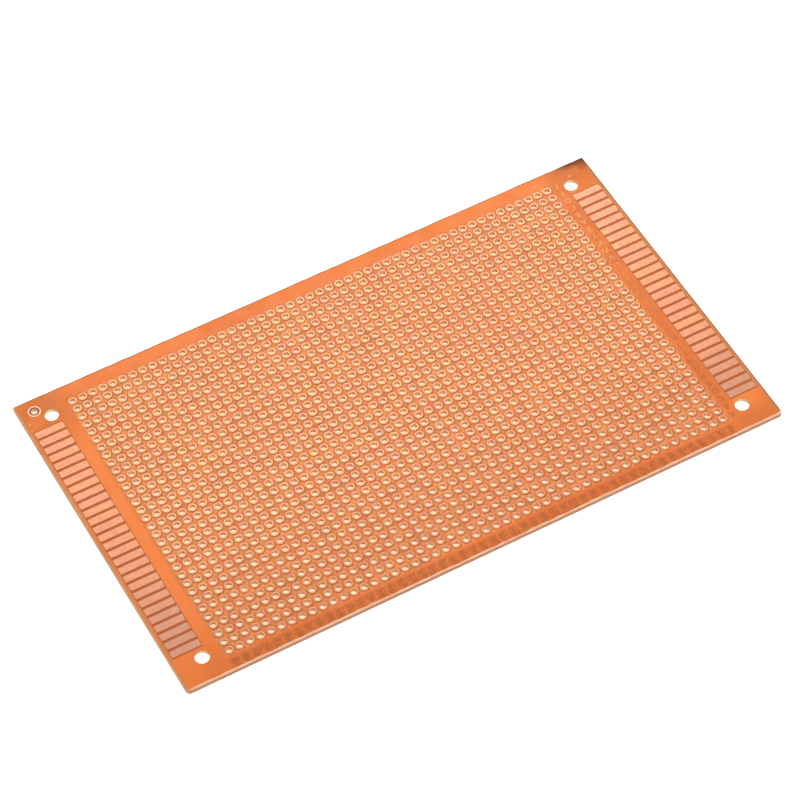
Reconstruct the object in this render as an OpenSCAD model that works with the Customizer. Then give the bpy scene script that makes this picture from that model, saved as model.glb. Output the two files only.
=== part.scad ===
// Prototype board: a bare punched laminate with single-hole copper pads on one face,
// a column of edge contacts at each end, four mounting holes and one locating ring.
// The origin is at the centre of the underside. +X runs along the board, +Y to its back edge.

/* [Board] */
// Length of the board
board_length = 149.8; // [146:0.1:180]
// Width of the board, front to back
board_width = 89.2; // [86:0.1:120]
// Thickness of the phenolic laminate
board_thickness = 1.2; // [0.8:0.1:2.4]
// Rounding of the two front corners
front_corner_r = 1.0; // [0.2:0.1:2]
// Rounding of the two back corners
back_corner_r = 0.4; // [0.2:0.1:2]

/* [Pad grid] */
// Distance from each pad to the next, along and across the board
pitch = 2.54; // [2.45:0.01:2.6]
// Columns of pads, along the board
pad_columns = 50; // [2:1:50]
// Rows of pads, front to back
pad_rows = 32; // [32:1:32]
// Diameter of a pad
pad_d = 2.2; // [1.7:0.05:2.3]
// Diameter of the lead hole punched through each pad
lead_hole_d = 1.35; // [0.8:0.05:1.4]
// Thickness of the copper foil
foil = 0.035; // [0.018:0.001:0.105]

/* [Edge contacts] */
// Contacts in each column, one to a pad row
contact_count = 28; // [2:1:28]
// Length of a contact, along the board
contact_length = 7.0; // [5:0.1:7.4]
// Width of a contact
contact_width = 1.8; // [1.2:0.02:2.2]
// Bare strip between a contact and the end of the board
contact_margin = 1.15; // [0.5:0.05:1.4]

/* [Mounting holes] */
// Diameter of a mounting hole
mount_hole_d = 3.3; // [2.5:0.1:3.4]
// Distance from the end of the board to a mounting hole's centre
mount_hole_inset = 6.85; // [6.5:0.05:7.2]
// Pad pitches from the front pair of mounting holes to the back pair
mount_pitches = 30; // [30:1:30]

/* [Locating ring] */
// Outer diameter of the copper ring
ring_d = 3.0; // [2.6:0.1:3.2]
// Width of the ring's track
ring_track = 0.26; // [0.15:0.01:0.4]
// Diameter of the locating hole inside the ring
locating_hole_d = 1.6; // [1:0.1:1.8]
// Distance from the end of the board to the ring's centre
ring_inset_x = 3.85; // [3.5:0.05:4]
// Distance from the back edge to the ring's centre
ring_inset_y = 3.65; // [3.4:0.05:3.9]

/* [Hidden] */
$fn = 48;
// How far a cutter runs past the face that it cuts
cut = 1;
// Half the length and half the width of the board
half_x = board_length / 2;
half_y = board_width / 2;
// The foil lies on the laminate's top face
foil_z = board_thickness;
laminate_colour = [0.88, 0.48, 0.24];
copper_colour = [0.93, 0.66, 0.50];

// The two digits of a row's number
function two_digits(n) = n < 10 ? str("0", n) : str(n);
function row_name(row) = str("pads_row_", two_digits(row));
// Places of the pads: the grid is centred on the board
function column_x(column) = (column - (pad_columns + 1) / 2) * pitch;
function row_y(row) = (row - (pad_rows + 1) / 2) * pitch;
// Places of the contacts, centred like the pad rows that they line up with
function contact_y(i) = (i - (contact_count + 1) / 2) * pitch;
// Distance from the board's centre to the middle of a contact
contact_x = half_x - contact_margin - contact_length / 2;
// Distances from the board's centre to a mounting hole
mount_x = half_x - mount_hole_inset;
mount_y = mount_pitches * pitch / 2;
// Centre of the locating ring, in the back left corner
ring_centre = [ring_inset_x - half_x, half_y - ring_inset_y];

// The waste outside one rounded corner, with the corner at the origin and the board at -x and -y
module corner_waste(r) {
    difference() {
        translate([-r, -r]) square(r + cut);
        translate([-r, -r]) circle(r);
    }
}

module board_outline() {
    difference() {
        square([board_length, board_width], center = true);
        for (side = [0, 1]) mirror([side, 0]) {
            translate([half_x, half_y]) corner_waste(back_corner_r);
            translate([half_x, -half_y]) mirror([0, 1]) corner_waste(front_corner_r);
        }
    }
}

module lead_holes() {
    for (row = [1 : pad_rows], column = [1 : pad_columns])
        translate([column_x(column), row_y(row)]) circle(d = lead_hole_d);
}

module mounting_holes() {
    for (x = [-mount_x, mount_x], y = [-mount_y, mount_y])
        translate([x, y]) circle(d = mount_hole_d);
}

// The board itself, punched through in one stroke
module laminate() {
    color(laminate_colour)
    linear_extrude(board_thickness)
    difference() {
        board_outline();
        lead_holes();
        mounting_holes();
        translate(ring_centre) circle(d = locating_hole_d);
    }
}

// One foil shape, laid on the laminate
module etched() {
    color(copper_colour) translate([0, 0, foil_z]) linear_extrude(foil) children();
}

module pad() {
    difference() {
        circle(d = pad_d);
        circle(d = lead_hole_d);
    }
}

module pads_row(row) {
    for (column = [1 : pad_columns])
        translate([column_x(column), row_y(row)]) etched() pad();
}

// A column of contacts at one end: side is -1 on the left and 1 on the right
module contacts(side) {
    for (i = [1 : contact_count])
        translate([side * contact_x, contact_y(i)])
            etched() square([contact_length, contact_width], center = true);
}

module locating_ring() {
    translate(ring_centre) etched() difference() {
        circle(d = ring_d);
        circle(d = ring_d - 2 * ring_track);
    }
}

laminate();
contacts(-1);  // left_contacts
contacts(1);  // right_contacts
locating_ring();
for (row = [1 : pad_rows])
    pads_row(row);
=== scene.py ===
"""Looks of a bare prototype board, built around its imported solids.

The laminate and the solder pads are rebuilt with finer edges over their CAD solids. The contacts
and the locating ring keep theirs. Letters, numbers and all surface finish are made here.
"""

import math
import random

import bpy
import numpy as np
from mathutils import Matrix, Vector, noise
from mathutils.geometry import delaunay_2d_cdt


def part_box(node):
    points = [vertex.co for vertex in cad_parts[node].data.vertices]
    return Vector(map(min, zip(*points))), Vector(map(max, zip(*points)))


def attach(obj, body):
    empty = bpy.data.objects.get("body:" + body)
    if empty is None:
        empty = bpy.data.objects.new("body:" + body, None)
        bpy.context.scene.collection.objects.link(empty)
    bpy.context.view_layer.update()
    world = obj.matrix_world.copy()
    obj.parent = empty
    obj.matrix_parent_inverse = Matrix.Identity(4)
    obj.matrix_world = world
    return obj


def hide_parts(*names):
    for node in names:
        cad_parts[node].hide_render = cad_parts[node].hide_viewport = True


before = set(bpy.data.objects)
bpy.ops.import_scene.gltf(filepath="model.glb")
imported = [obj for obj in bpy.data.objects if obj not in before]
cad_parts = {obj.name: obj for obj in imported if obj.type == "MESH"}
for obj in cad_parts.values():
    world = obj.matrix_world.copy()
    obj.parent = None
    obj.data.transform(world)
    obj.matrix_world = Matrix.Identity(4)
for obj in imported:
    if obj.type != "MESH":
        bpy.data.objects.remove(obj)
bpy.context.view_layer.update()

MM = 0.001

# Sizes that the solids give
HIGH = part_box("laminate")[1]
HALF_X = HIGH[0] / MM
HALF_Y = HIGH[1] / MM
THICK = HIGH[2] / MM
FOIL_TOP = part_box("pads_row_01")[1][2] / MM

# The same sizes as in the part's source, in millimetres
PITCH = 2.54
COLUMNS = 50
ROWS = 32
PAD_R = 1.1
LEAD_HOLE_R = 0.675
MOUNT_R = 1.65
MOUNT_INSET = 6.85
MOUNT_X = HALF_X - MOUNT_INSET
MOUNT_PITCHES = 30
MOUNT_Y = MOUNT_PITCHES / 2 * PITCH
LOCATING_R = 0.8
RING_INSET_X = 3.85
RING_INSET_Y = 3.65
RING_X = RING_INSET_X - HALF_X
RING_Y = HALF_Y - RING_INSET_Y
CONTACT_COUNT = 28
CONTACT_LENGTH = 7.0
CONTACT_MARGIN = 1.15
CONTACT_X = HALF_X - CONTACT_MARGIN - CONTACT_LENGTH / 2
CONTACT_REACH = CONTACT_COUNT / 2 * PITCH
FRONT_CORNER_R = 1.0
BACK_CORNER_R = 0.4
GRID_X = COLUMNS / 2 * PITCH
GRID_Y = ROWS / 2 * PITCH

# How far the paper breaks out round a hole at the underside, in millimetres like the sizes below
BREAKOUT = 0.24
# The rounded lip: how far each ring lies in from the outline and below the top face
LIPS = ((0.24, 0.0), (0.09, 0.04), (0.0, 0.2))
# The share by which the lip is wider along the front
FRONT_LIP = 0.75
# How far the board's foot lies in from the outline
FOOT_INSET = 0.02
# Width of the slope at the edges of a pad's foil
FOIL_SLOPE = 0.03
# Middle of the column of letters and of the row of numbers
LETTER_X = GRID_X + PITCH / 2
NUMBER_Y = -42.8

# How finely round things are drawn
HOLE_SIDES = 24
MOUNT_SIDES = 48
CORNER_STEPS = 6
OUTLINE_STEP = 0.9


def column_x(column):
    return (column - (COLUMNS - 1) / 2) * PITCH


def row_y(row):
    return (row - (ROWS - 1) / 2) * PITCH


def circle(x, y, radius, sides):
    """Points round a circle, anticlockwise from +X."""
    turns = [2 * math.pi * k / sides for k in range(sides)]
    return [(x + radius * math.cos(t), y + radius * math.sin(t)) for t in turns]


# Camera

# The view is fitted to the pads in the photograph, and its middle lies half a pixel off
PHOTO_SIDE = 800
VIEW_AZIMUTH = -25.76
VIEW_ELEVATION = 51.95
VIEW_ROLL = -3.60
LENS_MM = 162
CAMERA_AT = (-215.86, -450.17, 642.33)


def make_camera():
    data = bpy.data.cameras.new("camera")
    data.lens = LENS_MM
    data.sensor_width = 36
    data.shift_x = -0.5 / PHOTO_SIDE
    data.shift_y = 0.5 / PHOTO_SIDE
    data.clip_start = 0.05
    data.clip_end = 50
    camera = bpy.data.objects.new("camera", data)
    a, e, r = (math.radians(v) for v in (VIEW_AZIMUTH, VIEW_ELEVATION, VIEW_ROLL))
    back = Vector((math.sin(a) * math.cos(e), -math.cos(a) * math.cos(e), math.sin(e)))
    level = Vector((0, 0, 1)).cross(back).normalized()
    lifted = back.cross(level)
    right = level * math.cos(r) + lifted * math.sin(r)
    up = back.cross(right)
    turn = Matrix((right, up, back)).transposed()
    camera.matrix_world = Matrix.Translation(Vector(CAMERA_AT) * MM) @ turn.to_4x4()
    bpy.context.scene.collection.objects.link(camera)
    bpy.context.scene.camera = camera


# Node helpers


class Nodes:
    """Short names for building one material's nodes."""

    def __init__(self, name):
        self.material = bpy.data.materials.new(name)
        self.material.use_nodes = True
        self.tree = self.material.node_tree
        self.tree.nodes.clear()
        self.place = self.add("ShaderNodeTexCoord").outputs["Object"]

    def add(self, kind, **values):
        node = self.tree.nodes.new(kind)
        for key, value in values.items():
            setattr(node, key, value)
        return node

    def put(self, node, socket, value):
        target = node.inputs[socket]
        if isinstance(value, bpy.types.NodeSocket):
            self.tree.links.new(value, target)
        else:
            target.default_value = value

    def math(self, kind, a, b=0.0):
        node = self.add("ShaderNodeMath", operation=kind)
        self.put(node, 0, a)
        self.put(node, 1, b)
        return node.outputs[0]

    def vector(self, kind, a, b=(0, 0, 0)):
        node = self.add("ShaderNodeVectorMath", operation=kind)
        self.put(node, 0, a)
        self.put(node, 1, b)
        return node.outputs["Value" if kind in ("LENGTH", "DISTANCE") else "Vector"]

    def split(self, vector):
        node = self.add("ShaderNodeSeparateXYZ")
        self.put(node, 0, vector)
        return node.outputs

    def join(self, x, y, z):
        node = self.add("ShaderNodeCombineXYZ")
        for i, value in enumerate((x, y, z)):
            self.put(node, i, value)
        return node.outputs[0]

    def noise(self, grain_mm, detail=3.0, stretch=(1, 1, 1), offset=(0, 0, 0)):
        """Noise from 0 to 1 whose grains are about grain_mm across."""
        scaled = self.vector("MULTIPLY", self.place, tuple(s / (grain_mm * MM) for s in stretch))
        moved = self.vector("ADD", scaled, offset)
        node = self.add("ShaderNodeTexNoise")
        self.put(node, "Vector", moved)
        self.put(node, "Scale", 1.0)
        self.put(node, "Detail", detail)
        return node.outputs["Fac"]

    def span(self, value, low, high, out_low=0.0, out_high=1.0):
        """value taken from low..high to out_low..out_high, held at the ends."""
        node = self.add("ShaderNodeMapRange", interpolation_type="SMOOTHSTEP")
        for i, v in enumerate((value, low, high, out_low, out_high)):
            self.put(node, i, v)
        return node.outputs[0]

    def mix(self, amount, a, b, blend="MIX"):
        """Colour b laid over colour a."""
        node = self.add("ShaderNodeMix", data_type="RGBA", blend_type=blend)
        self.put(node, "Factor", amount)
        # Sockets 6 and 7 are the two colours, and output 2 is the mixed one
        self.put(node, 6, a)
        self.put(node, 7, b)
        return node.outputs[2]

    def shade(self, tone, value):
        """tone made darker or lighter by a value near 1."""
        return self.mix(1.0, tone, self.join(value, value, value), "MULTIPLY")

    def attribute(self, name):
        return self.add("ShaderNodeAttribute", attribute_name=name).outputs["Fac"]

    def bump(self, height, strength, depth_mm):
        node = self.add("ShaderNodeBump")
        self.put(node, "Strength", strength)
        self.put(node, "Distance", depth_mm * MM)
        self.put(node, "Height", height)
        return node.outputs[0]

    def finish(self, tone, roughness, normal, **values):
        """The whole material. values sets more of the shader's sockets, by their names."""
        shader = self.add("ShaderNodeBsdfPrincipled")
        self.put(shader, "Base Color", tone)
        self.put(shader, "Roughness", roughness)
        self.put(shader, "Normal", normal)
        for key, value in values.items():
            self.put(shader, key.replace("_", " "), value)
        out = self.add("ShaderNodeOutputMaterial")
        self.tree.links.new(shader.outputs[0], out.inputs[0])
        return self.material


def colour(r, g, b):
    """A colour as read off a screen, 0 to 255, in Blender's linear values."""
    def linear(v):
        v /= 255
        return v / 12.92 if v <= 0.04045 else ((v + 0.055) / 1.055) ** 2.4
    return (linear(r), linear(g), linear(b), 1.0)


# Materials

LAMINATE_LIGHT = colour(243, 131, 60)
LAMINATE_DARK = colour(233, 121, 54)
SHEEN = 0.12
RESIN_IOR = 1.5

# Single marks on the board, in millimetres from its middle
SPECKS = ((69.1, 40.7), (60.2, 41.9), (-73.6, 37.9))
DARK_SPOTS = ((-16.7, 5.1), (-57.3, -25.5))
BACK_LEFT_PATCH = (-69, 39)
BACK_RIGHT_PATCH = (73, 42)

# Each foil's rosy, yellow and dull tone, and its darker tone of painted shade for the front
PAD_TONES = colour(240, 155, 120), colour(252, 172, 113), colour(206, 124, 80), colour(206, 119, 74)
CONTACT_TONES = colour(206, 128, 90), colour(216, 140, 90), colour(182, 110, 74), colour(172, 118, 92)
RING_TONES = colour(236, 184, 150), colour(242, 192, 156), colour(220, 160, 124), colour(220, 160, 124)
FOIL_METAL = 0.25
FOIL_ROUGH = 0.43


def mottle(n, light, dark):
    """The resin's uneven tone: broad clouds and fine paper flecks."""
    tone = n.mix(n.span(n.noise(16, 2), 0.35, 0.68), light, dark)
    flecks = n.span(n.noise(0.3, 2, stretch=(1, 2.5, 1), offset=(2, 9, 4)), 0.3, 0.7, 0.96, 1.03)
    return n.shade(tone, flecks)


def about_zero(n, value, spread):
    """value from 0 to 1 taken to a range of the given spread, centred on 0."""
    return n.math("MULTIPLY", n.math("SUBTRACT", value, 0.5), spread)


def resin_surface(n, tone, weave, strength, **values):
    """The sheet's fine weave and broad waves, under a gloss that varies a little."""
    height = n.math("ADD", n.noise(0.35, 3, stretch=weave), n.math("MULTIPLY", n.noise(5, 2), 2.0))
    rough = n.span(n.noise(3, 3, offset=(5, 5, 5)), 0.3, 0.7, 0.4, 0.55)
    return n.finish(tone, rough, n.bump(height, strength, 0.02), **values)


def in_cell(n, value, shift_mm=0.0):
    """Distance in millimetres from the nearest pad's centre, along one axis and with its sign."""
    steps = n.math("DIVIDE", n.math("SUBTRACT", value, shift_mm), PITCH)
    return n.math("MULTIPLY", n.math("SUBTRACT", n.math("FRACT", steps), 0.5), PITCH)


def within(n, value, half_mm, soft_mm=0.0):
    """1 where value is closer to 0 than half_mm, fading over soft_mm."""
    inside = n.math("ABSOLUTE", value)
    if not soft_mm:
        return n.math("LESS_THAN", inside, half_mm)
    return n.span(inside, half_mm, half_mm - soft_mm)


def from_point(n, x, y, point):
    """Distance in millimetres from a point of the board."""
    return n.vector("DISTANCE", n.join(x, y, 0.0), (*point, 0))


def pad_ground(n, x, y, tone):
    """Etched resin between the pads, and a dark line round every pad: partly flux residue and partly painted
    shade at the foil's foot.
    """
    in_grid = n.math("MULTIPLY", within(n, x, GRID_X), within(n, y, GRID_Y))
    tone = n.mix(n.math("MULTIPLY", in_grid, 0.5), tone, colour(232, 148, 92))
    # Brighter in some places, redder or olive in others
    clouds = (
        (1.9, 3, (5, 1, 3), 0.65, colour(255, 158, 84)),
        (1.7, 3, (1, 1, 8), 0.7, colour(226, 106, 68)),
        (1.5, 4, (9, 4, 2), 0.65, colour(190, 122, 56)),
    )
    for grain_mm, detail, offset, most, shade in clouds:
        cloud = n.span(n.noise(grain_mm, detail, offset=offset), 0.48, 0.66, 0, most)
        tone = n.mix(n.math("MULTIPLY", cloud, in_grid), tone, shade)
    # Painted shade: the line is centred a little in front of each pad, so it is heavier on the near side, and
    # it is lighter at the sides
    aside = in_cell(n, x, 0.02)
    away = n.vector("LENGTH", n.join(aside, in_cell(n, y, -0.1), 0.0))
    sideways = n.math("DIVIDE", n.math("ABSOLUTE", aside), away)
    heavy = n.span(n.noise(3.2, 3, offset=(4, 4, 4)), 0.3, 0.7, 0.55, 0.95)
    heavy = n.math("MULTIPLY", heavy, n.span(sideways, 0.5, 1.0, 1.0, 0.6))
    rim = n.math("MULTIPLY", n.span(away, PAD_R + 0.25, PAD_R + 0.08), in_grid)
    return n.mix(n.math("MULTIPLY", rim, heavy), tone, colour(142, 82, 38))


def contact_ground(n, x, y, tone):
    """A brighter bare strip beside the left contacts, and darker resin between all the contacts."""
    strip = n.math("MULTIPLY", n.span(x, -GRID_X, -GRID_X - 1), within(n, y, 36, 14))
    tone = n.mix(n.math("MULTIPLY", strip, 0.45), tone, colour(255, 142, 76))
    along = n.math("SUBTRACT", n.math("ABSOLUTE", x), CONTACT_X)
    bed = n.math("MULTIPLY", within(n, along, CONTACT_LENGTH / 2 + 0.3, 0.2), within(n, y, CONTACT_REACH))
    return n.mix(n.math("MULTIPLY", bed, 0.76), tone, colour(160, 84, 44))


def legend_ground(n, x, y, tone):
    """Residue round the letters and numbers, a darker patch behind each number, and a darker strip in front
    of the pads that is partly residue and partly painted shade.
    """
    beside = n.math("MULTIPLY", n.span(x, GRID_X, GRID_X + 0.6), n.span(x, LETTER_X + 2.4, LETTER_X + 1.2))
    beside = n.math("MULTIPLY", beside, within(n, y, GRID_Y + 1, 3))
    stained = n.math("MULTIPLY", beside, n.span(n.noise(2.4, 3, offset=(8, 2, 6)), 0.3, 0.6, 0.2, 0.6))
    tone = n.mix(stained, tone, colour(206, 110, 54))
    # Painted shade, partly residue: the strip in front of the pads is darker, as the board is towards the
    # front
    near = n.math("MULTIPLY", n.span(y, -GRID_Y + 0.3, -GRID_Y - 0.9), within(n, x, GRID_X + 5, 8))
    tone = n.mix(n.math("MULTIPLY", near, 0.42), tone, colour(208, 106, 54))
    ragged = about_zero(n, n.noise(1.2), 1.6)
    across = within(n, n.math("ADD", in_cell(n, x), ragged), 1.25, 0.3)
    up = within(n, n.math("ADD", n.math("ADD", y, -NUMBER_Y), ragged), 1.6, 0.6)
    patch = n.math("MULTIPLY", n.math("MULTIPLY", across, up), within(n, x, GRID_X))
    uneven = n.span(n.noise(1.1, 3, offset=(6, 6, 1)), 0.3, 0.7, 0.2, 0.7)
    return n.mix(n.math("MULTIPLY", patch, uneven), tone, colour(172, 92, 44))


def corner_shades(n, x, y, tone):
    """The resin is a little deeper in tone at the corners, and browner in patches at the back left."""
    corner_x = n.span(n.math("ABSOLUTE", x), GRID_X - 3, GRID_X + 4)
    corner_y = n.span(n.math("ABSOLUTE", y), GRID_Y - 3, GRID_Y + 1)
    deep = n.math("MULTIPLY", n.math("MULTIPLY", corner_x, corner_y), n.span(x, -HALF_X, HALF_X, 0.3, 0.8))
    tone = n.mix(deep, tone, colour(214, 114, 54))
    cloudy = n.span(n.noise(4, 3, offset=(2, 8, 5)), 0.35, 0.65, 0.2, 0.8)
    back_left = n.span(from_point(n, x, y, BACK_LEFT_PATCH), 11, 2)
    tone = n.mix(n.math("MULTIPLY", back_left, cloudy), tone, colour(206, 116, 54))
    back_right = n.span(from_point(n, x, y, BACK_RIGHT_PATCH), 12, 3, 0, 0.7)
    return n.mix(back_right, tone, colour(214, 112, 48))


def small_marks(n, x, y, tone):
    """Pale specks in the bare margin with a painted shadow in front of each, dark spots of flux between pads,
    and brown in the locating ring.
    """
    for speck_x, speck_y in SPECKS:
        speck = from_point(n, x, y, (speck_x, speck_y))
        tone = n.mix(n.span(speck, 0.5, 0.15, 0, 0.75), tone, colour(252, 166, 110))
        # Painted shadow: the board is darker just in front of each speck
        shade = from_point(n, x, y, (speck_x - 0.1, speck_y - 0.7))
        tone = n.mix(n.span(shade, 0.5, 0.2, 0, 0.4), tone, colour(190, 96, 44))
    for spot in DARK_SPOTS:
        tone = n.mix(n.span(from_point(n, x, y, spot), 0.45, 0.15, 0, 0.9), tone, colour(84, 48, 26))
    ring = from_point(n, x, y, (RING_X, RING_Y))
    return n.mix(n.span(ring, 1.45, 1.15, 0, 0.75), tone, colour(130, 76, 52))


def edge_tones_and_shade(n, x, y, tone):
    """The sheared edges: light brown at the left and olive brown at the right, with a dark olive brown line
    of painted shade along the right and the back.
    """
    from_end = n.math("SUBTRACT", HALF_X, n.math("ABSOLUTE", x))
    from_left = n.math("ADD", x, HALF_X)
    from_right = n.math("SUBTRACT", HALF_X, x)
    from_back = n.math("SUBTRACT", HALF_Y, y)
    tone = n.mix(n.span(from_end, 1.5, 0.3, 0, 0.4), tone, colour(204, 140, 92))
    tone = n.mix(n.span(from_right, 1.5, 0.5, 0, 0.35), tone, colour(176, 124, 84))
    tone = n.mix(n.span(from_left, 0.6, 0.15, 0, 0.7), tone, colour(170, 122, 70))
    # Painted shade: a dark line along the right and back edges
    edge_shade = n.math("MINIMUM", from_right, from_back)
    return n.mix(n.span(edge_shade, 0.6, 0.2, 0, 0.85), tone, colour(112, 76, 34))


def scorch(n, x, y, tone):
    """The scorched back right corner, brown turning to black at the very edge."""
    burnt = about_zero(n, n.noise(1.6, 4, offset=(3, 3, 3)), 2.4)
    from_back = n.math("ADD", n.math("SUBTRACT", HALF_Y, y), burnt)
    reach = n.span(n.math("ADD", x, burnt), 64.5, 72.5)
    brown = n.math("MULTIPLY", reach, n.span(from_back, 3.2, 0.6))
    tone = n.mix(n.math("MULTIPLY", brown, 0.92), tone, colour(136, 74, 20))
    tip = n.math("ADD", from_point(n, x, y, (HALF_X - 0.8, HALF_Y - 0.4)), burnt)
    tone = n.mix(n.span(tip, 3.8, 1.2, 0, 0.9), tone, colour(142, 66, 20))
    black = n.math("MULTIPLY", reach, n.span(from_back, 1.4, 0.3))
    return n.mix(n.math("MULTIPLY", black, 0.8), tone, colour(58, 38, 20))


def laminate_face():
    n = Nodes("laminate_face")
    x, y, _ = n.split(n.vector("DIVIDE", n.place, (MM, MM, MM)))
    tone = mottle(n, LAMINATE_LIGHT, LAMINATE_DARK)
    for layer in (pad_ground, contact_ground, legend_ground, corner_shades, small_marks, edge_tones_and_shade, scorch):
        tone = layer(n, x, y, tone)
    return resin_surface(n, tone, (1, 2, 1), 0.25, Specular_IOR_Level=SHEEN)


def laminate_under():
    n = Nodes("laminate_under")
    tone = mottle(n, colour(214, 116, 62), colour(200, 102, 52))
    blotches = n.span(n.noise(3.5, 3, offset=(7, 3, 1)), 0.5, 0.78, 0, 0.5)
    tone = n.mix(blotches, tone, colour(176, 86, 42))
    return resin_surface(n, tone, (2, 1, 1), 0.3, IOR=RESIN_IOR)


def laminate_cut():
    """The sheared sides: paler, with the plies of paper showing as fine level lines."""
    n = Nodes("laminate_cut")
    plies = n.noise(1.0, 2, stretch=(0.4, 0.4, 14))
    tone = n.mix(n.span(plies, 0.35, 0.65), colour(222, 160, 122), colour(196, 134, 98))
    broken = n.span(n.noise(0.6, 4, offset=(3, 1, 8)), 0.5, 0.75, 0, 0.5)
    tone = n.mix(broken, tone, colour(236, 186, 150))
    # Painted shade just under the lip and a painted shadow along the foot, and painted light at the left end,
    # which is in the shade
    x, _, z = n.split(n.place)
    top = THICK * MM
    tone = n.mix(n.span(z, 0.5 * top, 0.8 * top, 0, 0.75), tone, colour(160, 106, 74))
    tone = n.mix(n.span(z, 0.2 * top, 0.05 * top, 0, 0.6), tone, colour(150, 108, 66))
    tone = n.mix(n.span(x, (1 - HALF_X) * MM, -HALF_X * MM, 0, 0.9), tone, colour(255, 206, 158))
    return n.finish(tone, 0.6, n.bump(plies, 0.5, 0.05), IOR=RESIN_IOR)


def laminate_lip():
    """The rounded lip that shearing leaves along the top edge."""
    n = Nodes("laminate_lip")
    # The pale tone is partly the paler sheared paper and partly a painted highlight along the front
    tone = n.mix(n.span(n.noise(2.0, 3), 0.35, 0.7), colour(255, 204, 164), colour(246, 176, 130))
    # Painted shade makes it brown everywhere but along the front, and nearer the board's own orange at the
    # left end
    x, y, _ = n.split(n.place)
    tone = n.mix(n.span(y, (0.5 - HALF_Y) * MM, (1.2 - HALF_Y) * MM), tone, colour(158, 112, 62))
    tone = n.mix(n.span(x, (1.2 - HALF_X) * MM, (0.5 - HALF_X) * MM), tone, colour(236, 158, 104))
    return n.finish(tone, 0.4, n.bump(n.noise(0.3, 3), 0.3, 0.03), IOR=RESIN_IOR)


def laminate_bore():
    """The walls of the punched holes. Some are cleaner than others, so each has its own tone. The pale tones
    are partly the sheared paper and partly painted light, for light that comes through the resin and up from
    the floor.
    """
    n = Nodes("laminate_bore")
    cell = n.vector("FLOOR", n.vector("DIVIDE", n.place, (PITCH * MM, PITCH * MM, 1)))
    node = n.add("ShaderNodeTexWhiteNoise", noise_dimensions="2D")
    n.put(node, "Vector", cell)
    fibres = n.math("MULTIPLY", n.noise(0.3, 3), 0.25)
    clean = n.math("ADD", n.math("MULTIPLY", node.outputs["Value"], 0.75), fibres)
    tone = n.mix(clean, colour(255, 190, 136), colour(255, 228, 184))
    # Another tone near the top, where the punch has drawn the edge down, and a paler one in the large holes,
    # painted light on walls that lie in shade
    x, _, z = n.split(n.place)
    top = THICK * MM
    tone = n.mix(n.span(z, 0.6 * top, 0.92 * top), tone, colour(255, 216, 170))
    tone = n.mix(n.span(n.math("ABSOLUTE", x), GRID_X * MM, (GRID_X + 1) * MM), tone, colour(255, 228, 190))
    return n.finish(tone, 0.55, n.bump(n.noise(0.12, 2), 0.4, 0.03), IOR=RESIN_IOR)


def foil(name, own, tones, uneven):
    """Copper foil under thin lacquer.

    own makes a value from 0 to 1 that sets each piece's tone between the first two tones. The third is dull
    foil, and uneven says how much of it shows. The fourth is a darker tone of painted shade, towards the
    front edge.
    """
    n = Nodes(name)
    rosy, yellow, dull, front_shade_tone = tones
    tone = n.mix(own(n), rosy, yellow)
    smear = n.span(n.noise(1.1, 3, offset=(1, 6, 2)), 0.4, 0.72, 0, uneven)
    tone = n.mix(smear, tone, dull)
    # Painted shade: the foil darkens towards the front, most at the left corner
    x, y, _ = n.split(n.vector("DIVIDE", n.place, (MM, MM, MM)))
    front = n.span(n.math("ADD", y, n.math("MULTIPLY", x, 0.04)), -4, -38)
    tone = n.mix(n.math("MULTIPLY", front, 0.7), tone, front_shade_tone)
    rolled = n.noise(0.16, 3, stretch=(0.35, 1, 1), offset=(6, 2, 2))
    tone = n.shade(tone, n.span(rolled, 0.3, 0.7, 0.92, 1.05))
    rough = n.span(n.noise(0.5, 3), 0.3, 0.7, FOIL_ROUGH - 0.07, FOIL_ROUGH + 0.07)
    return n.finish(tone, rough, n.bump(rolled, 0.2, 0.01), Metallic=FOIL_METAL)


def pad_tint(n):
    """The value that make_pads draws for each pad."""
    return n.attribute("tint")


def contact_tint(n):
    """One value for each contact, from the pad row that it stands in, with some drift along it."""
    _, y, _ = n.split(n.place)
    row = n.math("FLOOR", n.math("DIVIDE", y, PITCH * MM))
    node = n.add("ShaderNodeTexWhiteNoise", noise_dimensions="1D")
    n.put(node, "W", row)
    drift = n.noise(5, 2, offset=(3, 7, 7))
    return n.math("ADD", n.math("MULTIPLY", node.outputs["Value"], 0.45), n.math("MULTIPLY", drift, 0.55))


def legend_ink(name, back, front):
    """Foil of the letters and numbers, lighter towards the back edge and darker towards the front."""
    n = Nodes(name)
    _, y, _ = n.split(n.place)
    worn = about_zero(n, n.noise(1.6), 30 * MM)
    tone = n.mix(n.span(n.math("ADD", y, worn), 30 * MM, -24 * MM), back, front)
    return n.finish(tone, 0.45, n.bump(n.noise(0.1, 2), 0.2, 0.01), Specular_IOR_Level=SHEEN)


# Meshes


def new_piece(name, points, faces, materials, slots=None, sharp=35):
    """A piece from points in millimetres. slots gives each face's material, and sharp is in degrees."""
    mesh = bpy.data.meshes.new(name)
    mesh.from_pydata([tuple(c * MM for c in p) for p in points], [], faces)
    for material in materials:
        mesh.materials.append(material)
    if slots is not None:
        mesh.polygons.foreach_set("material_index", slots)
    mesh.shade_smooth()
    mesh.set_sharp_from_angle(angle=math.radians(sharp))
    mesh.validate()
    mesh.update()
    piece = bpy.data.objects.new(name, mesh)
    bpy.context.scene.collection.objects.link(piece)
    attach(piece, "root")
    return piece


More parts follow.
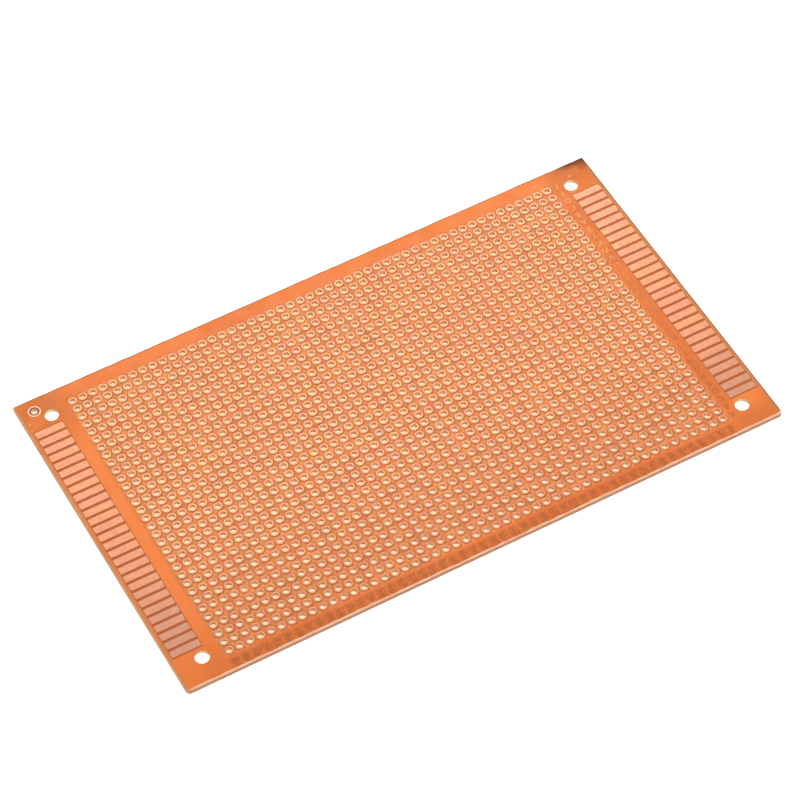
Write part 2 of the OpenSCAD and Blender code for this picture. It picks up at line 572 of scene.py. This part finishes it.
def outline_points():
    """The board's outline, anticlockwise from the back right corner, with an outward normal at each point."""
    corners = (
        (HALF_X, HALF_Y, BACK_CORNER_R, 0),
        (-HALF_X, HALF_Y, BACK_CORNER_R, 90),
        (-HALF_X, -HALF_Y, FRONT_CORNER_R, 180),
        (HALF_X, -HALF_Y, FRONT_CORNER_R, 270),
    )
    rounded = []
    for x, y, r, start in corners:
        cx = x - math.copysign(r, x)
        cy = y - math.copysign(r, y)
        for step in range(CORNER_STEPS + 1):
            t = math.radians(start + 90 * step / CORNER_STEPS)
            rounded.append((cx + r * math.cos(t), cy + r * math.sin(t), math.cos(t), math.sin(t)))
    points = []
    for a, b in zip(rounded, rounded[1:] + rounded[:1]):
        length = math.dist(a[:2], b[:2])
        count = max(1, round(length / OUTLINE_STEP))
        for k in range(count):
            f = k / count
            points.append(tuple(p * (1 - f) + q * f for p, q in zip(a, b)))
    return points


def wander(x, y, grain_mm, seed):
    """Smooth noise about 0 along the outline."""
    return noise.noise(Vector((x / grain_mm, y / grain_mm, seed)))


class Laminate:
    """Collects the points and faces of the board: faces, bores, lip and sheared sides."""

    TOP, UNDER, CUT, LIP, BORE = range(5)

    def __init__(self):
        self.points = []
        self.faces = []
        self.slots = []

    def add_points(self, points, z):
        start = len(self.points)
        self.points += [(x, y, z) for x, y in points]
        return list(range(start, len(self.points)))

    def add_face(self, face, slot):
        self.faces.append(face)
        self.slots.append(slot)

    def wall(self, upper, lower, slot, outward):
        """Quads between two closed rings. outward is False for the inside of a hole."""
        count = len(upper)
        for k in range(count):
            after = (k + 1) % count
            quad = (upper[k], lower[k], lower[after], upper[after])
            self.add_face(quad if outward else quad[::-1], slot)

    def flat(self, triangles, upper, lower):
        """The same triangles on the top face and, turned over, on the underside."""
        for a, b, c in triangles:
            self.add_face((upper[a], upper[b], upper[c]), self.TOP)
            self.add_face((lower[c], lower[b], lower[a]), self.UNDER)

    def grid(self):
        """One square cell round each lead hole. Returns the grid's border on both faces."""
        knots = [(column_x(c) - PITCH / 2, row_y(r) - PITCH / 2)
                 for r in range(ROWS + 1) for c in range(COLUMNS + 1)]
        top = self.add_points(knots, THICK)
        under = self.add_points(knots, 0)
        quarter = HOLE_SIDES // 4
        for row in range(ROWS):
            for column in range(COLUMNS):
                ring = circle(column_x(column), row_y(row), LEAD_HOLE_R, HOLE_SIDES)
                wide = circle(column_x(column), row_y(row), LEAD_HOLE_R + BREAKOUT, HOLE_SIDES)
                ring_top = self.add_points(ring, THICK)
                ring_under = self.add_points(wide, 0)
                self.wall(ring_top, ring_under, self.BORE, False)
                first = row * (COLUMNS + 1) + column
                # Back right, back left, front left, front right
                corners = (first + COLUMNS + 2, first + COLUMNS + 1, first, first + 1)
                local = []
                for q in range(4):
                    for k in range(quarter):
                        a = q * quarter + k
                        local.append((4 + a, q, 4 + (a + 1) % HOLE_SIDES))
                    local.append((q, (q + 1) % 4, 4 + (q + 1) * quarter % HOLE_SIDES))
                upper = [top[c] for c in corners] + ring_top
                lower = [under[c] for c in corners] + ring_under
                self.flat(local, upper, lower)
        border = list(range(COLUMNS))
        border += [r * (COLUMNS + 1) + COLUMNS for r in range(ROWS)]
        border += [ROWS * (COLUMNS + 1) + c for c in range(COLUMNS, 0, -1)]
        border += [r * (COLUMNS + 1) for r in range(ROWS, 0, -1)]
        return [knots[i] for i in border], [top[i] for i in border], [under[i] for i in border]

    def margin(self, border, border_top, border_under):
        """The bare strip round the grid, with the large holes, the lip and the sheared sides."""
        outline = outline_points()
        rings = []
        for inset, _ in LIPS:
            ring = []
            for x, y, nx, ny in outline:
                rough = 0.02 + 0.05 * abs(wander(x, y, 1.6, 3.3)) + 0.04 * abs(wander(x, y, 9, 8.1))
                width = inset * (1 + FRONT_LIP * max(0.0, -ny))
                back = width * (1 + 0.5 * wander(x, y, 2.3, 5.7)) + rough
                ring.append((x - nx * back, y - ny * back))
            rings.append(ring)
        foot = [(x - nx * FOOT_INSET, y - ny * FOOT_INSET) for x, y, nx, ny in outline]
        top_ring = self.add_points(rings[0], THICK)
        under_ring = self.add_points(foot, 0)
        above = top_ring
        for ring, (_, drop) in zip(rings[1:], LIPS[1:]):
            below = self.add_points(ring, THICK - drop)
            self.wall(above, below, self.LIP, True)
            above = below
        self.wall(above, under_ring, self.CUT, True)
        large = [(x, y, MOUNT_R) for x in (-MOUNT_X, MOUNT_X) for y in (-MOUNT_Y, MOUNT_Y)]
        large.append((RING_X, RING_Y, LOCATING_R))
        loops = [(rings[0], top_ring, under_ring), (border, border_top, border_under)]
        for x, y, radius in large:
            hole = circle(x, y, radius, MOUNT_SIDES)
            hole_top = self.add_points(hole, THICK)
            hole_under = self.add_points(circle(x, y, radius + BREAKOUT, MOUNT_SIDES), 0)
            self.wall(hole_top, hole_under, self.BORE, False)
            loops.append((hole, hole_top, hole_under))
        flat_points, upper, lower, edges = [], [], [], []
        for loop, loop_top, loop_under in loops:
            start = len(flat_points)
            flat_points += [Vector(p) for p in loop]
            upper += loop_top
            lower += loop_under
            edges += [(start + k, start + (k + 1) % len(loop)) for k in range(len(loop))]
        points, _, triangles, origins, _, _ = delaunay_2d_cdt(flat_points, edges, [], 1, 1e-7)
        source = [o[0] for o in origins]
        kept = []
        for triangle in triangles:
            a, b, c = (points[i] for i in triangle)
            middle = (a + b + c) / 3
            if self.is_margin(middle, large):
                kept.append(tuple(source[i] for i in triangle))
        self.flat(kept, upper, lower)

    @staticmethod
    def is_margin(middle, large):
        """Whether a triangle's middle lies on the bare strip and outside the large holes."""
        if abs(middle.x) < GRID_X and abs(middle.y) < GRID_Y:
            return False
        if abs(middle.x) > HALF_X or abs(middle.y) > HALF_Y:
            return False
        return all(math.dist(middle, (x, y)) > radius * 0.99 for x, y, radius in large)


def make_laminate():
    board = Laminate()
    board.margin(*board.grid())
    materials = [laminate_face(), laminate_under(), laminate_cut(), laminate_lip(), laminate_bore()]
    piece = new_piece("board_laminate", board.points, board.faces, materials, board.slots)
    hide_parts("laminate")


PAD_SEED = 41


def make_pads(material):
    """Each row of pads, with eased foil edges and its own tone on every pad."""
    # Radius and height of the pad's section, from the hole round to the outer foot
    section = (
        (LEAD_HOLE_R, THICK),
        (LEAD_HOLE_R + FOIL_SLOPE, FOIL_TOP),
        (PAD_R - FOIL_SLOPE, FOIL_TOP),
        (PAD_R, THICK),
    )
    draw = random.Random(PAD_SEED)
    for row in range(ROWS):
        points, faces, tints = [], [], []
        for column in range(COLUMNS):
            tint = min(1.0, max(0.0, draw.gauss(0.55, 0.3)))
            rings = []
            for radius, z in section:
                start = len(points)
                points += [(x, y, z) for x, y in circle(column_x(column), row_y(row), radius, HOLE_SIDES)]
                rings.append(range(start, start + HOLE_SIDES))
                tints += [tint] * HOLE_SIDES
            for inner, outer in zip(rings, rings[1:] + rings[:1]):
                for k in range(HOLE_SIDES):
                    after = (k + 1) % HOLE_SIDES
                    faces.append((inner[k], outer[k], outer[after], inner[after]))
        piece = new_piece("pads_%02d" % (row + 1), points, faces, [material], sharp=50)
        attribute = piece.data.attributes.new("tint", "FLOAT", "POINT")
        attribute.data.foreach_set("value", tints)
        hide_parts("pads_row_%02d" % (row + 1))


def paint_solids():
    """The foil of the contacts and the locating ring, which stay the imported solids."""
    contact_foil = foil("contact_foil", contact_tint, CONTACT_TONES, 0.3)
    ring_foil = foil("ring_foil", contact_tint, RING_TONES, 0.3)
    foils = {"left_contacts": contact_foil, "right_contacts": contact_foil, "locating_ring": ring_foil}
    for name, material in foils.items():
        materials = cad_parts[name].data.materials
        materials.clear()
        materials.append(material)


# Letters and numbers

# The built-in font's size for a capital that is 1 high
FONT_SIZE = 1.38
LETTER_HEIGHT = 1.6
DIGIT_HEIGHT = 1.0
DIGIT_STEP = 1.15


def written(words, height, places, name, material):
    """Foil characters: places gives a centre and a turn in degrees for each word."""
    points, faces = [], []
    for word, (x, y, turn) in zip(words, places):
        curve = bpy.data.curves.new("word", "FONT")
        curve.body = word
        curve.size = height * FONT_SIZE
        curve.align_x = "CENTER"
        curve.align_y = "CENTER"
        curve.resolution_u = 2
        curve.extrude = (FOIL_TOP - THICK) / 2
        maker = bpy.data.objects.new("word", curve)
        bpy.context.scene.collection.objects.link(maker)
        bpy.context.view_layer.update()
        flat = maker.to_mesh()
        corners = np.array([v.co for v in flat.vertices])
        corners -= (corners.min(0) + corners.max(0)) / 2
        cos, sin = math.cos(math.radians(turn)), math.sin(math.radians(turn))
        start = len(points)
        for cx, cy, cz in corners:
            points.append((x + cx * cos - cy * sin, y + cx * sin + cy * cos, (THICK + FOIL_TOP) / 2 + cz))
        faces += [tuple(start + i for i in p.vertices) for p in flat.polygons]
        maker.to_mesh_clear()
        bpy.data.objects.remove(maker)
        bpy.data.curves.remove(curve)
    piece = new_piece(name, points, faces, [material])


def make_legend():
    letters = [chr(ord("A") + row % 26) for row in range(ROWS)]
    places = [(LETTER_X, row_y(row), 180) for row in range(ROWS)]
    letter_foil = legend_ink("legend_letter_foil", colour(250, 168, 100), colour(194, 108, 52))
    written(letters, LETTER_HEIGHT, places, "row_letters", letter_foil)
    # The two digits of a number stand one above the other, the tens nearer to the board's edge
    digits, places = [], []
    for column in range(COLUMNS):
        for digit, step in zip("%02d" % (COLUMNS - column), (-0.5, 0.5)):
            digits.append(digit)
            places.append((column_x(column), NUMBER_Y + step * DIGIT_STEP, 180))
    number_foil = legend_ink("legend_number_foil", colour(186, 104, 56), colour(184, 102, 54))
    written(digits, DIGIT_HEIGHT, places, "column_numbers", number_foil)


# Floor, background and lamps

FLOOR_HALF = 4.0
# The floor lies just below the board's underside
FLOOR_Z = -0.02 * MM
FLOOR_GREY = 0.72
FLOOR_GLOW = 0.92
WORLD_LIGHT = 0.55
# Name, place, side in metres, watts
LAMPS = (
    ("softbox_front", (0.16, -0.66, 0.62), 0.6, 2.9),
    ("softbox_back", (0.20, 0.50, 0.48), 0.35, 3.1),
)


def seen_rays(tree):
    """1 for the rays that find a white background: those from the camera, mirrors and glass."""
    path = tree.nodes.new("ShaderNodeLightPath")
    seen = path.outputs["Is Camera Ray"]
    for kind in ("Is Glossy Ray", "Is Transmission Ray"):
        either = tree.nodes.new("ShaderNodeMath")
        either.operation = "MAXIMUM"
        tree.links.new(seen, either.inputs[0])
        tree.links.new(path.outputs[kind], either.inputs[1])
        seen = either.outputs[0]
    return seen


def stage_material():
    """Pale floor that the camera, mirrors and glass see as white, and that keeps a faint shadow."""
    n = Nodes("floor_white")
    # Light that comes through the resin warms the floor under the pad grid, most at the back
    x, y, _ = n.split(n.vector("DIVIDE", n.place, (MM, MM, MM)))
    under = n.math("MULTIPLY", within(n, x, GRID_X + 2, 1.5), within(n, y, GRID_Y + 2, 1.5))
    warm = n.mix(n.span(y, -30, 30), colour(253, 206, 172), colour(250, 202, 153))
    tint = n.mix(under, (1, 1, 1, 1), warm)
    # Painted shade: the floor seen through the small locating hole is browner
    ring = from_point(n, x, y, (RING_X, RING_Y))
    tint = n.mix(n.span(ring, 4, 3), tint, colour(236, 200, 180))
    diffuse = n.add("ShaderNodeBsdfDiffuse")
    n.put(diffuse, "Color", (FLOOR_GREY, FLOOR_GREY, FLOOR_GREY, 1))
    glow = n.add("ShaderNodeEmission")
    n.put(glow, "Color", tint)
    n.put(glow, "Strength", n.math("MULTIPLY", seen_rays(n.tree), FLOOR_GLOW))
    both = n.add("ShaderNodeAddShader")
    n.tree.links.new(diffuse.outputs[0], both.inputs[0])
    n.tree.links.new(glow.outputs[0], both.inputs[1])
    out = n.add("ShaderNodeOutputMaterial")
    n.tree.links.new(both.outputs[0], out.inputs[0])
    return n.material


def make_floor():
    mesh = bpy.data.meshes.new("floor")
    half = FLOOR_HALF
    corners = [(-half, -half, 0), (half, -half, 0), (half, half, 0), (-half, half, 0)]
    mesh.from_pydata(corners, [], [(0, 1, 2, 3)])
    mesh.materials.append(stage_material())
    floor = bpy.data.objects.new("floor", mesh)
    bpy.context.scene.collection.objects.link(floor)
    floor.location.z = FLOOR_Z


def make_world():
    world = bpy.data.worlds.new("studio")
    world.use_nodes = True
    tree = world.node_tree
    tree.nodes.clear()
    strength = tree.nodes.new("ShaderNodeMapRange")
    tree.links.new(seen_rays(tree), strength.inputs["Value"])
    strength.inputs["To Min"].default_value = WORLD_LIGHT
    strength.inputs["To Max"].default_value = 1.0
    background = tree.nodes.new("ShaderNodeBackground")
    tree.links.new(strength.outputs[0], background.inputs["Strength"])
    out = tree.nodes.new("ShaderNodeOutputWorld")
    tree.links.new(background.outputs[0], out.inputs[0])
    bpy.context.scene.world = world


def make_lamp(name, at, size, watts):
    data = bpy.data.lights.new(name, "AREA")
    data.shape = "SQUARE"
    data.size = size
    data.energy = watts
    lamp = bpy.data.objects.new(name, data)
    lamp.location = at
    lamp.rotation_euler = (Vector((0, 0, 0)) - Vector(at)).to_track_quat("-Z", "Y").to_euler()
    bpy.context.scene.collection.objects.link(lamp)


def make_light():
    make_world()
    for name, at, size, watts in LAMPS:
        make_lamp(name, at, size, watts)


# The scene

bpy.context.scene.view_settings.view_transform = "Standard"
make_camera()
make_light()
make_floor()
make_laminate()
make_pads(foil("pad_foil", pad_tint, PAD_TONES, 0.6))
paint_solids()
make_legend()
